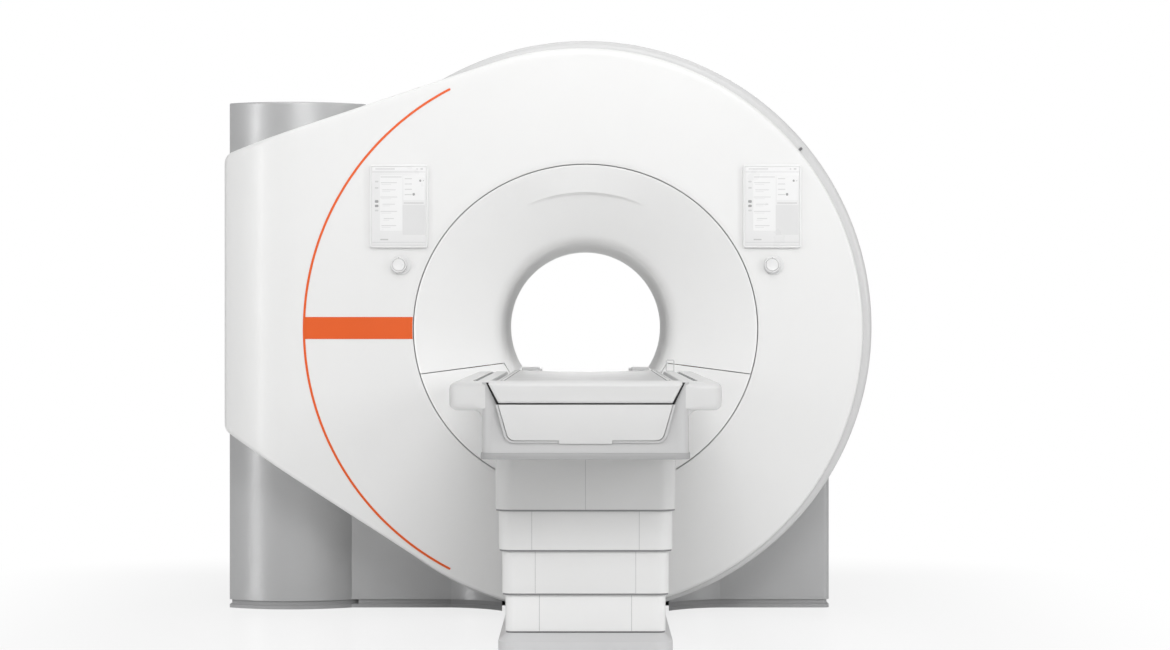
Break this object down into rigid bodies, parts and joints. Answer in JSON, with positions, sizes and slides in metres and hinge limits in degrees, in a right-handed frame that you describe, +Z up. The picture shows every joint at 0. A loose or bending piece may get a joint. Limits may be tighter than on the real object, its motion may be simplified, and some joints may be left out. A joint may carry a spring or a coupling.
{
  "type": "mri scanner",
  "caption": "Closed-bore magnetic resonance scanner: round gantry with a flared tunnel, a side service column, displays and dials, and a lifting patient table that slides into the bore.",
  "frame": {"origin": "on the floor, straight below the centre of the magnet", "axes": "+Z up, -Y towards the foot end of the table and the viewer, +X to the viewer's right"},
  "size_m": [2.299, 3.687, 2.0249],
  "materials": {
    "white_cover": "satin moulded shell, lacquered",
    "funnel_white": "satin moulded shell, slightly shinier",
    "grey_cover": "silver grey lacquer with fine flake",
    "skirt_grey": "fine grain",
    "bore_white": "smooth, satin",
    "accent_orange": "satin printed film",
    "rail_white": "smooth",
    "glass_fibre": "resin and glass fibre winding",
    "copper_resin": "cast resin over copper",
    "vessel_steel": "painted steel vessel",
    "frame_steel": "powder coat",
    "cold_steel": "brushed",
    "cabinet_grey": "powder coat, fine texture",
    "display_frame": "satin grey",
    "display_glass": "glossy cover glass over a lit panel",
    "dial_grey": "satin silver",
    "dial_cap": "satin",
    "latch_dark": "matt",
    "table_white": "satin",
    "table_grey": "satin",
    "seal_black": "matt",
    "strip_grey": "matt",
    "pedestal_white": "satin",
    "plinth_grey": "satin",
    "stage_metal": "anodised",
    "drive_metal": "cast and painted",
    "loop_white": "smooth"
  },
  "bodies": {
    "gantry": {"bore_liner": "bore_white", "body_coil": "glass_fibre", "gradient_coil": "copper_resin", "magnet_vessel": "vessel_steel", "magnet_plate": "frame_steel", "magnet_feet": "frame_steel", "front_support_ring": "frame_steel", "rear_support_ring": "frame_steel", "service_turret": "vessel_steel", "cold_head": "cold_steel", "electronics_cabinet": "cabinet_grey", "front_cover": "white_cover", "accent_arc": "accent_orange", "accent_band": "accent_orange", "barrel_cover": "white_cover", "funnel_upper": "funnel_white", "funnel_lower": "funnel_white", "bore_rails": "rail_white", "rear_cover": "white_cover", "rear_funnel": "funnel_white", "column_cover": "grey_cover", "base_cover_right": "grey_cover", "base_skirt_right": "skirt_grey", "base_cover_left": "grey_cover", "base_skirt_left": "skirt_grey", "column_skirt": "skirt_grey", "display_housing_right": "display_frame", "display_glass_right": "display_glass", "dial_seat_right": "dial_grey", "display_housing_left": "display_frame", "display_glass_left": "display_glass", "dial_seat_left": "dial_grey", "cover_latch": "latch_dark", "table_plinth": "plinth_grey", "pedestal_cover_4": "pedestal_white", "lift_stage_fixed": "stage_metal", "floor_duct": "plinth_grey"},
    "table_head": {"head_shell": "table_grey", "front_panel": "table_grey", "front_panel_frame": "table_grey", "end_cap_seal": "seal_black", "side_wing_right": "table_white", "side_wing_left": "table_white", "gutter_strips": "strip_grey", "strap_loop": "loop_white", "lift_stage_inner": "stage_metal", "table_drive": "drive_metal"},
    "table_board": {"table_top": "table_white", "top_end_cap": "table_white", "accessory_tracks": "strip_grey", "coil_sockets": "table_grey"},
    "cover_upper": {"pedestal_cover_1": "pedestal_white"},
    "cover_middle": {"pedestal_cover_2": "pedestal_white", "lift_stage_middle": "stage_metal"},
    "cover_lower": {"pedestal_cover_3": "pedestal_white"},
    "dial_right": {"dial_ring_right": "dial_grey"},
    "dial_left": {"dial_ring_left": "dial_grey"},
    "push_right": {"dial_cap_right": "dial_cap"},
    "push_left": {"dial_cap_left": "dial_cap"}
  },
  "joints": [
    {"name": "table_lift", "type": "slide", "parent": "gantry", "child": "table_head", "axis": [0, 0, 1], "range_m": [-0.33, 0]},
    {"name": "upper_cover_slide", "type": "slide", "parent": "gantry", "child": "cover_upper", "axis": [0, 0, 1], "range_m": [-0.2475, 0]},
    {"name": "middle_cover_slide", "type": "slide", "parent": "gantry", "child": "cover_middle", "axis": [0, 0, 1], "range_m": [-0.165, 0]},
    {"name": "lower_cover_slide", "type": "slide", "parent": "gantry", "child": "cover_lower", "axis": [0, 0, 1], "range_m": [-0.0825, 0]},
    {"name": "tabletop_travel", "type": "slide", "parent": "table_head", "child": "table_board", "axis": [0, 1, 0], "range_m": [0, 1.9]},
    {"name": "dial_right_turn", "type": "hinge", "parent": "gantry", "child": "dial_right", "pos_m": [0.652, -0.92, 1.237], "axis": [0, 1, 0], "continuous": true},
    {"name": "dial_right_push", "type": "slide", "parent": "dial_right", "child": "push_right", "axis": [0, 1, 0], "range_m": [0, 0.003], "stiffness_N_per_m": 600, "springref_m": -0.002},
    {"name": "dial_left_turn", "type": "hinge", "parent": "gantry", "child": "dial_left", "pos_m": [-0.652, -0.92, 1.237], "axis": [0, 1, 0], "continuous": true},
    {"name": "dial_left_push", "type": "slide", "parent": "dial_left", "child": "push_left", "axis": [0, 1, 0], "range_m": [0, 0.003], "stiffness_N_per_m": 600, "springref_m": -0.002}
  ],
  "couplings": [
    {"joint": "upper_cover_slide", "follows": "table_lift", "ratio": 0.75},
    {"joint": "middle_cover_slide", "follows": "table_lift", "ratio": 0.5},
    {"joint": "lower_cover_slide", "follows": "table_lift", "ratio": 0.25}
  ]
}
